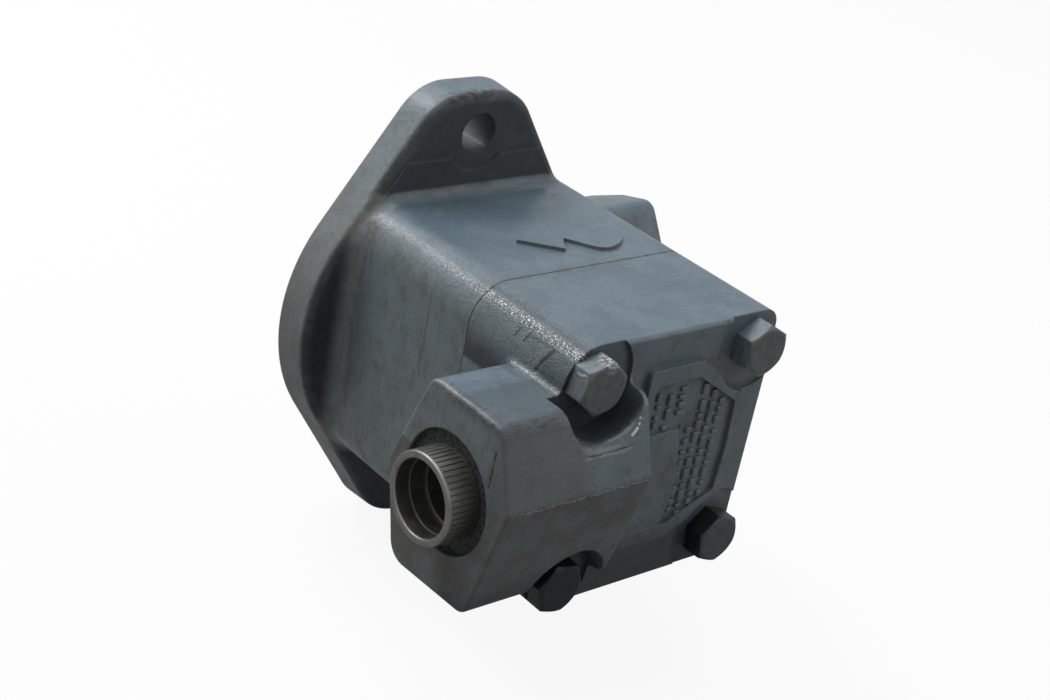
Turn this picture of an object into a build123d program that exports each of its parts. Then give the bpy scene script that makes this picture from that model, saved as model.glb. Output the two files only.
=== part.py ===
from build123d import *
import math
import os

# Hydraulic balanced vane pump, two-bolt flange mounted, in millimetres.
# Origin: centre of the mounting face, on the shaft axis.  +Y runs from the mounting face through the
# body and cover, the drive shaft sticks out towards -Y, +Z runs up through the flange ears, and +X is
# the side of the outlet port.

# ---------------------------------------------------------------- mounting flange and body casting
flange_thickness = 11.5
flange_radius = 47.7
ear_radius = 15.5
ear_offset_x = 5.5
ear_offset_z = 49.0
flange_draft = 3.5
flange_edge_round = 2.5
mount_hole_spacing = 106.4
mount_hole_radius = 5.55
mount_spotface_radius = 10.3
pilot_radius = 41.275
pilot_height = 6.35

body_half_width = 35.4
body_half_height = 36.4
body_corner = 10.5
inlet_side_corner = 5.0
body_length = 60.1
body_flange_fillet = 5.0
joint_edge_break = 0.15
flange_pad_margin = 10.6
flange_pad_rise = 0.6

# ---------------------------------------------------------------- outlet cover casting
cover_length = 36.8
cover_edge_round = 1.2
bolt_edge_x = 7.9
bolt_edge_z = 8.6
spotface_radius = 12.6
spotface_depth = 1.1
pocket_flare_start = 6.2
pocket_flare_radius = 4.0

outlet_reach = 23.4
outlet_inner_x = 14.3
outlet_port_setback = 28.1
outlet_top_drop = 11.4
outlet_top_front = 16.9
outlet_top_back = 43.1
outlet_ridge = 50.1
outlet_ridge_z = 5.5
outlet_bottom_back = 41.9
outlet_bottom_back_drop = 10.2
outlet_bottom_front = 12.9
outlet_bottom_front_drop = 9.1
outlet_front = 6.1
outlet_front_z = -2.5
outlet_corner_round = 4.0
outlet_soft_round = 6.0
outlet_rim_round = 0.8
outlet_root_fillet = 2.0
outlet_recess_radius = 15.3
outlet_recess_depth = 1.5
outlet_thread_radius = 9.53
outlet_thread_depth = 17.0
outlet_passage_radius = 5.5

# ---------------------------------------------------------------- inlet boss on the body
inlet_reach = 15.4
inlet_y = 30.5
inlet_crest_y = 31.5
inlet_crest_z = 36.3
inlet_shoulder_y = 20.0
inlet_shoulder_z = 33.2
inlet_back_y = 56.0
inlet_foot_z = 26.9
inlet_corner_round = 4.5
inlet_rim_round = 0.8
inlet_thread_radius = 12.4
inlet_thread_depth = 16.5
inlet_chamfer = 1.8
inlet_passage_half_height = 10.0

# ---------------------------------------------------------------- cast marks
arrow_height = 0.9
arrow_setback = 12.1
plate_height = 1.5
plate_border_top = 4.6
plate_border_side = 2.6
plate_border_bottom = 4.4
plate_inner_x = 8.8
plate_top_inset = 9.2
plate_side_inset = 8.0
plate_bottom_inset = 12.2
plate_corner_round = 1.6
plate_field_depth = 1.1
pad_top_z = 8.5
pad_reach = 8.6
pad_height = 0.8

# ---------------------------------------------------------------- pumping set
ring_radius = 30.0
ring_width = 20.0
cavity_clearance = 0.1
cam_minor_radius = 20.65
cam_major_radius = 23.45
rotor_radius = 20.5
rotor_side_gap = 0.03
vane_count = 12
vane_thickness = 1.98
vane_slot_gap = 0.03
vane_length = 8.0
vane_tip_inset = 0.1
vane_tip_gap = 0.04
vane_root_radius = 1.5
port_wall = 4.1
kidney_inner = 17.6
kidney_outer = 22.6
kidney_sweep = 52.0
pin_circle = 26.8
pin_radius = 2.0
pin_gap = 0.03
pin_depth = 3.0

plate_inset = 2.0
plate_thickness = 9.0
plate_radial_gap = 0.1
plate_hole_radius = 10.5
plate_lift = 2.0
gland_radius = 32.6
gland_depth = 2.5
cover_ring_section = 1.18
seal_groove_width = 3.6
seal_groove_depth = 2.3
seal_ring_section = 1.05
backup_ring_width = 1.3

chamber_radius = 25.0
cover_wall = 8.9
hub_radius = 16.6
hub_length = 12.0
spring_mean_radius = 13.6
spring_wire_radius = 1.2
spring_turns = 3.0
spring_seat_depth = 2.0
spring_seat_radius = 16.0
spring_seat_gap = 0.1

inlet_chamber_outer = 28.5
inlet_chamber_length = 12.0
seal_boss_radius = 17.8

# ---------------------------------------------------------------- shaft, bearing and seal
nose_radius = 9.525
shaft_reach = 31.75
nose_chamfer = 1.2
key_size = 4.76
key_length = 19.05
key_from_end = 5.0
key_gap = 0.02
seat_radius = 10.0
shoulder_radius = 11.75
shoulder_width = 1.8
seal_journal_radius = 9.6
bush_journal_radius = 9.5
journal_gap = 0.03
spline_major = 9.1
spline_minor = 8.0
spline_teeth = 10
spline_gap = 0.05
shaft_tail = 2.0

bearing_outer_radius = 23.5
bearing_width = 14.0
bearing_front_y = -3.1
race_inner_lip = 13.5
race_outer_lip = 20.0
ball_pitch_radius = 16.75
ball_radius = 3.969
ball_count = 8
race_conformity = 1.04
race_gap = 0.03
cage_thickness = 2.2
cage_width = 9.8
cage_pocket_gap = 0.08
fit_gap = 0.02
housing_ring_width = 1.75
housing_ring_bite = 1.5
shaft_ring_width = 1.2
shaft_ring_bite = 0.8
shaft_ring_land = 2.5
ring_band = 3.0
ring_slack = 0.1
housing_ring_opening = 26
shaft_ring_opening = 60
ring_groove_gap = 0.05

seal_outer_radius = 16.0
seal_width = 7.0
seal_gap_from_shoulder = 0.6
seal_case_wall = 1.0
seal_case_inner = 13.0
seal_lip_gap = 0.05
seal_spring_radius = 0.55
seal_spring_gap = 0.06
seal_spring_rise = 2.2
seal_lip_setback = 1.6
seal_heel_thickness = 1.4
seal_bore_clearance = 1.3
seal_neck_rise = 2.4
seal_end_rise = 1.9
seal_end_inset = 0.6
bush_outer_radius = 12.0
bush_seal_gap = 1.7
bush_floor_gap = 0.5

# ---------------------------------------------------------------- cover bolts
bolt_shank_radius = 3.97
bolt_hole_gap = 0.24
bolt_thread_gap = 0.04
bolt_grip = 14.5
bolt_bottom_gap = 3.0
head_across_flats = 12.7
head_height = 6.0
head_chamfer = 0.9
head_crown_steepness = 0.55
head_turns = {"ul": 43.0, "ur": 30.0, "ll": 12.0, "lr": 20.0}

# ---------------------------------------------------------------- outlet port plug
plug_head_radius = 11.45
plug_bore_radius = 9.5
plug_head_length = 9.0
plug_flange_width = 0.9
plug_rib_depth = 0.25
plug_rib_gap = 0.32
plug_rib_count = 50
plug_rim_round = 0.55
plug_mouth_depth = 4.4
plug_step = 0.3
plug_shank_gap = 0.06
plug_shank_length = 12.5
plug_wall = 0.9

# ---------------------------------------------------------------- derived positions along the axis
cover_end_y = body_length + cover_length
cavity_floor_y = body_length - plate_inset - ring_width
ring_back_y = cavity_floor_y + ring_width
plate_back_y = ring_back_y + plate_thickness
cover_bore_end_y = plate_back_y + plate_lift
chamber_end_y = cover_end_y - cover_wall
hub_face_y = chamber_end_y - hub_length
inlet_chamber_back_y = cavity_floor_y - port_wall
inlet_chamber_front_y = inlet_chamber_back_y - inlet_chamber_length
bearing_back_y = bearing_front_y + bearing_width
shoulder_back_y = bearing_back_y + shoulder_width
seal_front_y = shoulder_back_y + seal_gap_from_shoulder
seal_back_y = seal_front_y + seal_width
bush_back_y = cavity_floor_y - bush_floor_gap
bush_front_y = seal_back_y + bush_seal_gap
shaft_tail_y = ring_back_y + shaft_tail
bolt_seat_y = cover_end_y - spotface_depth
cavity_radius = ring_radius + cavity_clearance
plate_radius = ring_radius - plate_radial_gap
bolt_offset_x = body_half_width - bolt_edge_x
bolt_offset_z = body_half_height - bolt_edge_z
spot_faces = [(sx * bolt_offset_x, sz * bolt_offset_z) for sx in (1, -1) for sz in (1, -1)]
inlet_face_x = -body_half_width - inlet_reach
outlet_face_x = body_half_width + outlet_reach
outlet_y = body_length + outlet_port_setback
outlet_top_z = body_half_height - outlet_top_drop
outlet_bottom_back_z = outlet_bottom_back_drop - body_half_height
outlet_bottom_front_z = outlet_bottom_front_drop - body_half_height
outlet_tip_y = body_length + outlet_ridge
recess_floor_x = outlet_face_x - outlet_recess_depth
skin = 0.1


# ---------------------------------------------------------------- helpers
def disc(radius, y0, y1, x=0.0, z=0.0):
    """Cylinder along +Y from y0 to y1."""
    return Pos(x, (y0 + y1) / 2, z) * Rot(90, 0, 0) * Cylinder(radius, y1 - y0)


def rod_x(radius, x0, x1, y, z=0.0):
    """Cylinder along X from x0 to x1."""
    return Pos((x0 + x1) / 2, y, z) * Rot(0, 90, 0) * Cylinder(radius, abs(x1 - x0))


def slab(sketch, y0, y1):
    """Sketch drawn in X and Z, extruded along +Y from y0 to y1."""
    return Pos(0, y0, 0) * extrude(Plane.XZ * sketch, amount=-(y1 - y0))


def side_prism(points, roundings, x0, x1):
    """Polygon of (y, z) points, each corner with its own rounding, extruded along X."""
    outline = make_face(Polyline(*points, close=True))
    for (y, z), rounding in zip(points, roundings):
        corner = outline.vertices().sort_by_distance((y, z, 0))[0]
        outline = fillet(corner, rounding)
    return Pos(x0, 0, 0) * extrude(Plane.YZ * outline, amount=x1 - x0)


def turned(points):
    """Solid of revolution about the Y axis from (radius, y) points."""
    outline = make_face(Polyline(*[(r, y, 0) for r, y in points], close=True))
    return revolve(outline, Axis.Y)


def around(shape, angle):
    """Turn a shape about the shaft axis; the angle runs from +X towards +Z."""
    return Rot(0, -angle, 0) * shape


def edges_within(shape, low, high):
    """Edges of a shape that lie inside the box between two corners."""
    found = []
    for edge in shape.edges():
        box = edge.bounding_box()
        above = box.min.X > low[0] and box.min.Y > low[1] and box.min.Z > low[2]
        below = box.max.X < high[0] and box.max.Y < high[1] and box.max.Z < high[2]
        if above and below:
            found.append(edge)
    return found


def section(margin=0.0):
    """Rectangle shared by the body and the cover, softer on the outlet side, grown by a margin."""
    outline = Rectangle(2 * (body_half_width + margin), 2 * (body_half_height + margin))
    outline = fillet(outline.vertices().sort_by(Axis.X)[-2:], body_corner + margin)
    return fillet(outline.vertices().sort_by(Axis.X)[:2], inlet_side_corner + margin)


def kidney(inner, outer, sweep, angle, y0, y1):
    """Curved slot between two radii, centred on an angle about the axis."""
    reach = 3 * outer
    half = math.radians(sweep / 2)
    corner = (reach * math.cos(half), reach * math.sin(half))
    wedge = make_face(Polyline((0, 0), corner, (corner[0], -corner[1]), close=True))
    slot = (Circle(outer) - Circle(inner)) & wedge
    slot = fillet(slot.vertices(), (outer - inner) * 0.45)
    return around(slab(slot, y0, y1), angle)


# ---------------------------------------------------------------- body casting
def flange_outline():
    """Round centre with an ear above and below."""
    circles = [Circle(flange_radius)]
    for sx in (1, -1):
        for sz in (1, -1):
            circles.append(Pos(sx * ear_offset_x, sz * ear_offset_z) * Circle(ear_radius))
    return make_hull([edge for circle in circles for edge in circle.edges()])


def flange():
    """Two-bolt flange, its rim drawn in by the casting draft and its rear edge rounded."""
    plate = extrude(Plane.XZ * flange_outline(), amount=-flange_thickness, taper=flange_draft)
    rear = [e for e in plate.edges() if abs(e.center().Y - flange_thickness) < 1e-4]
    return fillet(rear, flange_edge_round)


def flange_pads():
    """Low unmachined steps left on the ears next to the body."""
    outline = section(flange_pad_margin) & offset(flange_outline(), -flange_edge_round - 0.3)
    outline -= Rectangle(4 * flange_radius, 2 * body_half_height - 1)
    return slab(outline, flange_thickness / 2, flange_thickness + flange_pad_rise)


def inlet_boss():
    """Cast boss on the -X side, level with the top of the body."""
    profile = [(flange_thickness / 2, inlet_foot_z), (inlet_shoulder_y, inlet_shoulder_z),
               (inlet_crest_y, inlet_crest_z), (inlet_back_y, 0), (inlet_crest_y, -inlet_crest_z),
               (inlet_shoulder_y, -inlet_shoulder_z), (flange_thickness / 2, -inlet_foot_z)]
    boss = side_prism(profile, [inlet_corner_round] * len(profile), inlet_face_x, -body_half_width / 2)
    return fillet(boss.faces().sort_by(Axis.X)[0].edges(), inlet_rim_round)


def arrow():
    """Raised direction-of-rotation arrow on top of the body, its tail curled back."""
    tip = (8.6, -5.2)
    barb = (-0.8, 3.3)
    notch = (-4.6, -2.2)
    tail = (-20.6, -5.3)
    curl = [notch, (-8.4, 2.6), (-12.0, 6.0), (-17.6, 5.2), (-22.6, 0.8), (-23.6, -3.4), tail]
    shape = make_face(Polyline(tip, barb, notch) + Spline(*curl) + Line(tail, tip))
    raised = extrude(shape, amount=2 * arrow_height)
    return Pos(0, body_length - arrow_setback, body_half_height - arrow_height) * raised


def body_core():
    """Machined and cored space inside the body."""
    space = disc(cavity_radius, cavity_floor_y, body_length + 1)
    space += disc(gland_radius, body_length - gland_depth, body_length + 1)
    chamber = disc(inlet_chamber_outer, inlet_chamber_front_y, inlet_chamber_back_y)
    chamber -= disc(seal_boss_radius, inlet_chamber_front_y, inlet_chamber_back_y)
    space += chamber
    for angle in (45, 225):
        space += kidney(kidney_inner, kidney_outer, kidney_sweep, angle,
                        inlet_chamber_back_y - 1, cavity_floor_y + 1)
    space += disc(bush_outer_radius + fit_gap, seal_back_y - 1, cavity_floor_y + 1)
    space += disc(seal_outer_radius + fit_gap, bearing_back_y - 1, seal_back_y)
    space += disc(bearing_outer_radius + fit_gap, -pilot_height - 1, bearing_back_y)
    groove_front = bearing_front_y - housing_ring_width - ring_groove_gap
    space += disc(bearing_outer_radius + housing_ring_bite, groove_front, bearing_front_y)
    return space


def inlet_port():
    """Threaded inlet hole and the cored passage behind it."""
    depth_x = inlet_face_x + inlet_thread_depth
    hole = rod_x(inlet_thread_radius, inlet_face_x - 1, depth_x, inlet_y)
    cone = Cone(inlet_thread_radius + inlet_chamfer, inlet_thread_radius, inlet_chamfer)
    mouth = Pos(inlet_face_x + inlet_chamfer / 2, inlet_y, 0) * Rot(0, 90, 0) * cone
    middle_y = (inlet_chamber_front_y + inlet_chamber_back_y) / 2
    start_x = depth_x - 1
    end_x = -(seal_boss_radius + inlet_chamber_outer) / 2
    passage = Box(end_x - start_x, inlet_chamber_length, 2 * inlet_passage_half_height)
    passage = fillet(passage.edges().filter_by(Axis.X), inlet_chamber_length * 0.4)
    return hole + mouth + Pos((start_x + end_x) / 2, middle_y, 0) * passage


def pin_places():
    """Locating pins stand on the short axis of the cam, either side of the shaft."""
    return [(pin_circle, 0), (-pin_circle, 0)]


def body_casting():
    barrel = slab(section(), 0, body_length)
    shape = flange() + chamfer(barrel.faces().sort_by(Axis.Y)[-1].edges(), joint_edge_break)
    half_x = body_half_width + skin
    half_z = body_half_height + skin
    root = edges_within(shape, (-half_x, flange_thickness - skin, -half_z),
                        (half_x, flange_thickness + skin, half_z))
    shape = fillet(root, body_flange_fillet)
    shape += flange_pads()
    shape += inlet_boss()
    shape += disc(pilot_radius, -pilot_height, 0)
    shape += arrow()
    shape -= body_core()
    shape -= inlet_port()
    for sz in (1, -1):
        z = sz * mount_hole_spacing / 2
        shape -= disc(mount_hole_radius, -1, flange_thickness + 1, 0, z)
        shape -= disc(mount_spotface_radius, flange_thickness, body_length / 2, 0, z)
    for x, z in spot_faces:
        deep = body_length - bolt_grip - bolt_bottom_gap
        shape -= disc(bolt_shank_radius + bolt_thread_gap, deep, body_length + 1, x, z)
    for x, z in pin_places():
        shape -= disc(pin_radius + pin_gap, cavity_floor_y - pin_depth - 0.1, cavity_floor_y + 1, x, z)
    return shape


# ---------------------------------------------------------------- outlet cover
def outlet_boss():
    """Six-sided cast boss that carries the outlet port and stands proud of the end face."""
    profile = [(outlet_top_front, outlet_top_z), (outlet_top_back, outlet_top_z),
               (outlet_ridge, outlet_ridge_z), (outlet_bottom_back, outlet_bottom_back_z),
               (outlet_bottom_front, outlet_bottom_front_z), (outlet_front, outlet_front_z)]
    roundings = [outlet_corner_round] * 4 + [outlet_soft_round] * 2
    boss = side_prism(profile, roundings, outlet_inner_x, outlet_face_x)
    boss = fillet(boss.faces().sort_by(Axis.X)[-1].edges(), outlet_rim_round)
    return Pos(0, body_length, 0) * boss


def plate_outline(inset_top, inset_side, inset_bottom):
    """Six-sided outline on the end face, inset from the edges of the section."""
    inner = plate_inner_x - inset_side
    top = body_half_height - plate_top_inset - inset_top
    side = plate_side_inset - body_half_width + inset_side
    bottom = plate_bottom_inset - body_half_height + inset_bottom
    corners = [(inner, top), (-plate_inner_x, top), (side + 0.8, top * 0.57), (side, 0),
               (side + 0.8, bottom * 0.68), (-plate_inner_x, bottom), (inner, bottom)]
    outline = make_face(Polyline(*corners, close=True))
    return fillet(outline.vertices(), plate_corner_round)


def end_plate():
    """Raised border cast on the end face, a sunk field inside it and a plain pad with a curved side."""
    top_y = cover_end_y + plate_height
    field_y = top_y - plate_field_depth
    panel = slab(plate_outline(0, 0, 0), cover_end_y - cover_edge_round, top_y)
    field = plate_outline(plate_border_top, plate_border_side, plate_border_bottom)
    panel -= slab(field, field_y, top_y + 1)
    low = plate_bottom_inset + plate_border_bottom - body_half_height
    inner = plate_inner_x - plate_border_side
    side = Spline((-pad_reach + 3, pad_top_z), (-pad_reach + 0.9, 0), (-pad_reach, low / 2), (2 - pad_reach, low))
    pad = make_face(side + Polyline((2 - pad_reach, low), (inner, low), (inner, pad_top_z),
                                    (-pad_reach + 3, pad_top_z)))
    return panel + slab(pad, field_y - pad_height, field_y + pad_height)


def cover_core():
    """Machined bore for the pressure plate, outlet chamber and outlet port."""
    space = disc(cavity_radius, body_length - 1, cover_bore_end_y)
    space += disc(chamber_radius, cover_bore_end_y - 1, chamber_end_y)
    space -= disc(hub_radius, hub_face_y, chamber_end_y)
    port_bottom = recess_floor_x - outlet_thread_depth
    space += rod_x(outlet_thread_radius, port_bottom, outlet_face_x + 1, outlet_y)
    space += rod_x(outlet_recess_radius, recess_floor_x, outlet_face_x + 1, outlet_y)
    passage_y = chamber_end_y - outlet_passage_radius
    inside_x = (hub_radius + chamber_radius) / 2
    space += rod_x(outlet_passage_radius, inside_x, port_bottom + 1, passage_y)
    return space


def bolt_pocket():
    """Spot face for a bolt head, its mouth flared where it breaks out through the boss."""
    start = cover_end_y + pocket_flare_start
    flare = JernArc((spotface_radius, start), (0, 1), pocket_flare_radius, -80)
    mouth = flare @ 1
    outline = Polyline((spotface_radius, start), (spotface_radius, bolt_seat_y), (0, bolt_seat_y),
                       (0, mouth.Y), (mouth.X, mouth.Y)) + flare
    return revolve(make_face(outline), Axis.Y)


def outlet_cover():
    shape = slab(section(), body_length, cover_end_y)
    shape = fillet(shape.faces().sort_by(Axis.Y)[-1].edges(), cover_edge_round)
    shape = chamfer(shape.faces().sort_by(Axis.Y)[0].edges(), joint_edge_break)
    shape += outlet_boss()
    root = edges_within(shape, (body_half_width - skin, body_length + skin, -body_half_height),
                        (body_half_width + skin, cover_end_y, outlet_top_z + skin))
    shape = fillet(root, outlet_root_fillet)
    shape += end_plate()
    for x, z in spot_faces:
        shape -= Pos(x, 0, z) * bolt_pocket()
        shape -= disc(bolt_shank_radius + bolt_hole_gap, body_length - 1, cover_end_y + 1, x, z)
    shape -= cover_core()
    return shape


# ---------------------------------------------------------------- cover bolts
def cover_bolt(x, z, turn):
    """Hexagon-head screw with a chamfered head, its shank running into the body."""
    flats = RegularPolygon(head_across_flats / 2, 6, major_radius=False, rotation=turn)
    top = bolt_seat_y + head_height
    head = slab(flats, bolt_seat_y, top)
    corner = head_across_flats / math.sqrt(3)
    flat_top = head_across_flats / 2 - head_chamfer / 2
    outer = corner + 1
    fall = (outer - flat_top) * head_crown_steepness
    crown = turned([(0, bolt_seat_y), (outer, bolt_seat_y), (outer, top - fall), (flat_top, top), (0, top)])
    head = head & crown
    shank = disc(bolt_shank_radius, body_length - bolt_grip, bolt_seat_y)
    return Pos(x, 0, z) * (head + shank)


def cover_bolts():
    turns = [head_turns["ul"], head_turns["ll"], head_turns["ur"], head_turns["lr"]]
    return Compound([cover_bolt(x, z, turn) for (x, z), turn in zip(spot_faces, turns)])


# ---------------------------------------------------------------- seals on the cover and plate
def hoop(mean_radius, section_radius, y):
    """Round-section ring about the shaft axis."""
    return Pos(0, y, 0) * Rot(90, 0, 0) * Torus(mean_radius, section_radius)


def cover_o_ring():
    room = gland_radius - cavity_radius
    return hoop(cavity_radius + room / 2, cover_ring_section, body_length - gland_depth / 2)


def groove_start_y():
    return body_length + (plate_back_y - body_length - seal_groove_width) / 2


def plate_o_ring():
    y = groove_start_y() + 0.1 + seal_ring_section
    return hoop(plate_radius - seal_groove_depth / 2, seal_ring_section, y)


def plate_backup_ring():
    end = groove_start_y() + seal_groove_width - 0.05
    ring = disc(plate_radius - 0.05, end - backup_ring_width, end)
    return ring - disc(plate_radius - seal_groove_depth + 0.05, end - backup_ring_width - 1, end + 1)


# ---------------------------------------------------------------- pumping set
def cam_radius(angle):
    """Cam radius at an angle from +X: two lobes, smallest on X and largest on Z."""
    swing = (1 - math.cos(2 * math.radians(angle))) / 2
    return cam_minor_radius + (cam_major_radius - cam_minor_radius) * swing


def cam_ring():
    points = []
    for step in range(48):
        angle = step * 7.5
        r = cam_radius(angle)
        points.append((r * math.cos(math.radians(angle)), r * math.sin(math.radians(angle))))
    cam = make_face(Spline(*points, periodic=True))
    shape = slab(Circle(ring_radius) - cam, cavity_floor_y, ring_back_y)
    for x, z in pin_places():
        shape -= disc(pin_radius + pin_gap, cavity_floor_y - 1, ring_back_y + 1, x, z)
    return shape


def locating_pins():
    start = cavity_floor_y - pin_depth
    end = ring_back_y + pin_depth
    return Compound([disc(pin_radius, start, end, x, z) for x, z in pin_places()])


def pressure_plate():
    shape = disc(plate_radius, ring_back_y, plate_back_y)
    start = groove_start_y()
    groove = disc(plate_radius + 1, start, start + seal_groove_width)
    shape -= groove - disc(plate_radius - seal_groove_depth, start, start + seal_groove_width)
    shape -= disc(plate_hole_radius, ring_back_y - 1, plate_back_y + 1)
    shape -= disc(spring_seat_radius, plate_back_y - spring_seat_depth, plate_back_y + 1)
    for angle in (135, 315):
        shape -= kidney(kidney_inner, kidney_outer, kidney_sweep, angle, ring_back_y - 1, plate_back_y + 1)
    for x, z in pin_places():
        shape -= disc(pin_radius + pin_gap, ring_back_y - 1, ring_back_y + pin_depth + 0.1, x, z)
    return shape


def pressure_plate_spring():
    """Coil spring between the plate's seat and the hub inside the cover."""
    start = plate_back_y - spring_seat_depth + spring_wire_radius + spring_seat_gap
    height = hub_face_y - spring_wire_radius - spring_seat_gap - start
    path = Helix(pitch=height / spring_turns, height=height, radius=spring_mean_radius)
    wire = Plane(origin=path @ 0, z_dir=path % 0) * Circle(spring_wire_radius)
    coil = sweep(wire, path=path, is_frenet=True)
    return Pos(0, start, 0) * Rot(-90, 0, 0) * coil


def splined(major, minor, y0, y1, gap=0.0):
    """Straight-sided spline bar along the axis."""
    width = math.pi * (spline_major + spline_minor) / 2 / spline_teeth + 2 * gap
    bar = Circle(minor + gap)
    for i in range(spline_teeth):
        tooth = Pos((major + gap) / 2, 0) * Rectangle(major + gap, width)
        bar += Rot(0, 0, 360 / spline_teeth * i) * tooth
    bar = bar & Circle(major + gap)
    return slab(bar, y0, y1)


def vane_angles():
    return [360 / vane_count * (i + 0.5) for i in range(vane_count)]


def vane_inner_radius():
    return rotor_radius - vane_tip_inset - vane_length


def rotor():
    front = cavity_floor_y + rotor_side_gap
    back = ring_back_y - rotor_side_gap
    shape = disc(rotor_radius, front, back)
    shape -= splined(spline_major, spline_minor, front - 1, back + 1, spline_gap)
    root = vane_inner_radius() - vane_slot_gap
    slot_length = rotor_radius + 1 - root
    width = vane_thickness + 2 * vane_slot_gap
    for angle in vane_angles():
        slot = Pos(root + slot_length / 2, 0) * Rectangle(slot_length, width)
        slot += Pos(root, 0) * Circle(vane_root_radius)
        shape -= around(slab(slot, front - 1, back + 1), angle)
    return shape


def vane(angle):
    """Vane held fully back in its slot, its tip rounded."""
    inner = vane_inner_radius()
    blade = Pos(inner + vane_length / 2, 0) * Rectangle(vane_length, vane_thickness)
    tip = blade.vertices().sort_by(Axis.X)[-2:]
    blade = fillet(tip, vane_thickness * 0.4)
    front = cavity_floor_y + rotor_side_gap
    back = ring_back_y - rotor_side_gap
    return around(slab(blade, front, back), angle)


# ---------------------------------------------------------------- shaft group
def key_slot(gap):
    """Key blank on the +Z side of the shaft nose."""
    start = -shaft_reach + key_from_end
    box = Box(key_size + 2 * gap, key_length + 2 * gap, key_size + gap)
    low = nose_radius - key_size / 2 - gap
    return Pos(0, start + key_length / 2, low + (key_size + gap) / 2) * box


def drive_shaft():
    ring_front = bearing_front_y - shaft_ring_width - ring_groove_gap
    seat_front = ring_front - shaft_ring_land
    groove = seat_radius - shaft_ring_bite
    profile = [(0, -shaft_reach), (nose_radius - nose_chamfer, -shaft_reach),
               (nose_radius, -shaft_reach + nose_chamfer), (nose_radius, seat_front),
               (seat_radius, seat_front), (seat_radius, ring_front), (groove, ring_front),
               (groove, bearing_front_y), (seat_radius, bearing_front_y), (seat_radius, bearing_back_y),
               (shoulder_radius, bearing_back_y), (shoulder_radius, shoulder_back_y),
               (seal_journal_radius, shoulder_back_y), (seal_journal_radius, seal_back_y),
               (bush_journal_radius, seal_back_y), (bush_journal_radius, cavity_floor_y),
               (0, cavity_floor_y)]
    shape = turned(profile)
    shape += splined(spline_major, spline_minor, cavity_floor_y - 0.5, shaft_tail_y)
    return shape - key_slot(key_gap)


def shaft_key():
    blank = key_slot(0)
    return fillet(blank.edges().filter_by(Axis.Z), key_size * 0.45)


def open_ring(inner, outer, y0, y1, gap_angle, turn):
    """Retaining ring with a gap between its lugs."""
    ring = Circle(outer) - Circle(inner)
    reach = 3 * outer
    half = math.radians(gap_angle / 2)
    corner = (reach * math.cos(half), reach * math.sin(half))
    ring -= make_face(Polyline((0, 0), corner, (corner[0], -corner[1]), close=True))
    return around(slab(ring, y0, y1), turn)


def bearing_retaining_ring():
    outer = bearing_outer_radius + housing_ring_bite - ring_slack
    inner = outer - ring_band - housing_ring_bite
    start = bearing_front_y - housing_ring_width
    return open_ring(inner, outer, start, bearing_front_y, housing_ring_opening, -90)


def shaft_retaining_ring():
    inner = seat_radius - shaft_ring_bite + ring_slack
    start = bearing_front_y - shaft_ring_width
    return open_ring(inner, inner + ring_band, start, bearing_front_y, shaft_ring_opening, -90)


def race_groove():
    middle = (bearing_front_y + bearing_back_y) / 2
    return hoop(ball_pitch_radius, ball_radius * race_conformity + race_gap, middle)


def bearing_inner_race():
    ring = disc(race_inner_lip, bearing_front_y, bearing_back_y)
    ring -= disc(seat_radius + fit_gap, bearing_front_y - 1, bearing_back_y + 1)
    return ring - race_groove()


def bearing_outer_race():
    ring = disc(bearing_outer_radius, bearing_front_y, bearing_back_y)
    ring -= disc(race_outer_lip, bearing_front_y - 1, bearing_back_y + 1)
    return ring - race_groove()


def ball_centres():
    middle = (bearing_front_y + bearing_back_y) / 2
    centres = []
    for i in range(ball_count):
        angle = math.radians(360 / ball_count * i)
        centres.append((ball_pitch_radius * math.cos(angle), middle, ball_pitch_radius * math.sin(angle)))
    return centres


def bearing_balls():
    return Compound([Pos(*centre) * Sphere(ball_radius) for centre in ball_centres()])


def bearing_cage():
    middle = (bearing_front_y + bearing_back_y) / 2
    ring = disc(ball_pitch_radius + cage_thickness / 2, middle - cage_width / 2, middle + cage_width / 2)
    ring -= disc(ball_pitch_radius - cage_thickness / 2, middle - cage_width, middle + cage_width)
    pocket = rod_x(ball_radius + cage_pocket_gap, ball_pitch_radius - cage_thickness,
                   ball_pitch_radius + cage_thickness, middle)
    for i in range(ball_count):
        ring -= around(pocket, 360 / ball_count * i)
    return ring


def shaft_seal_case():
    """Pressed steel shell of the lip seal: a rim and a web towards the bearing."""
    inner_rim = seal_outer_radius - seal_case_wall
    web = seal_front_y + seal_case_wall
    return turned([(seal_case_inner, seal_front_y), (seal_outer_radius, seal_front_y),
                   (seal_outer_radius, seal_back_y), (inner_rim, seal_back_y), (inner_rim, web),
                   (seal_case_inner, web)])


def shaft_seal_lip():
    """Rubber body of the seal, its lip pointing at the oil side, with a groove for the spring."""
    lip = seal_journal_radius + seal_lip_gap
    web = seal_front_y + seal_case_wall
    rim = seal_outer_radius - seal_case_wall
    lip_y = seal_back_y - seal_lip_setback
    heel = web + seal_heel_thickness
    end = seal_back_y - seal_end_inset
    body = turned([(lip + seal_bore_clearance, web), (rim, web), (rim, heel), (lip + seal_neck_rise, heel),
                   (lip + seal_end_rise, end), (lip + seal_end_rise / 2, end), (lip, lip_y)])
    return body - hoop(lip + seal_spring_rise, seal_spring_radius + seal_spring_gap, lip_y)


def shaft_seal_spring():
    lip = seal_journal_radius + seal_lip_gap
    return hoop(lip + seal_spring_rise, seal_spring_radius, seal_back_y - seal_lip_setback)


def shaft_bushing():
    sleeve = disc(bush_outer_radius, bush_front_y, bush_back_y)
    return sleeve - disc(bush_journal_radius + journal_gap, bush_front_y - 1, bush_back_y + 1)


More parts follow.
